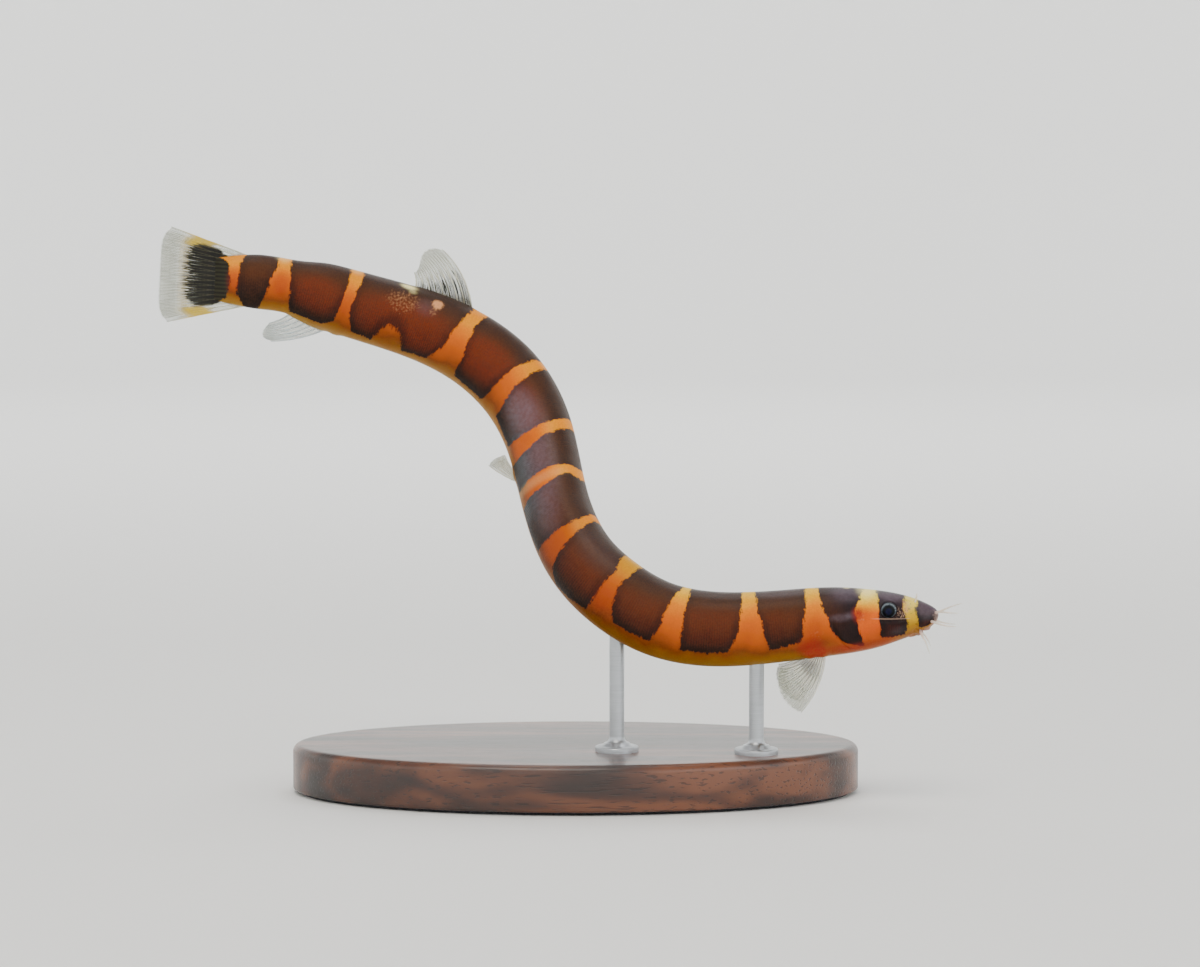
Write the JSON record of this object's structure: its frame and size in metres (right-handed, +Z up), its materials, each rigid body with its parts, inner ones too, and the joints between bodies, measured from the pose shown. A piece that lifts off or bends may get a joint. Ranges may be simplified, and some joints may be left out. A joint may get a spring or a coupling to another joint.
{
  "type": "kuhli loach display model",
  "caption": "Slender banded loach with whisker barbels, swimming in an S-bend over a low oval stand with short rods.",
  "frame": {"origin": "centre of the underside of the stand's base", "axes": "+X the way the head points and the length of the fish, +Y the fish's far left side, +Z up"},
  "size_m": [0.0816, 0.032, 0.0578],
  "materials": {
    "skin": "moist smooth skin, orange bands between dark brown saddles",
    "eye": "wet, dark blue-black with a thin silver rim",
    "barbel": "pale, moist",
    "fin": "thin, clear membrane with grey rays",
    "stand_wood": "dark stained, satin",
    "stand_steel": "fine brushed"
  },
  "bodies": {
    "root": {"head": "skin", "trunk_front": "skin", "trunk_middle": "skin", "trunk_rear": "skin", "tail_stalk": "skin", "eye_left": "eye", "eye_right": "eye", "barbel_rostral_inner_left": "barbel", "barbel_rostral_inner_right": "barbel", "barbel_rostral_outer_left": "barbel", "barbel_rostral_outer_right": "barbel", "barbel_maxillary_left": "barbel", "barbel_maxillary_right": "barbel", "barbel_nasal_left": "barbel", "barbel_nasal_right": "barbel", "pectoral_fin_left": "fin", "pectoral_fin_right": "fin", "pelvic_fin_left": "fin", "pelvic_fin_right": "fin", "dorsal_fin": "fin", "anal_fin": "fin", "caudal_fin": "fin", "stand_base": "stand_wood", "stand_rod_front": "stand_steel", "stand_rod_rear": "stand_steel"}
  },
  "joints": []
}
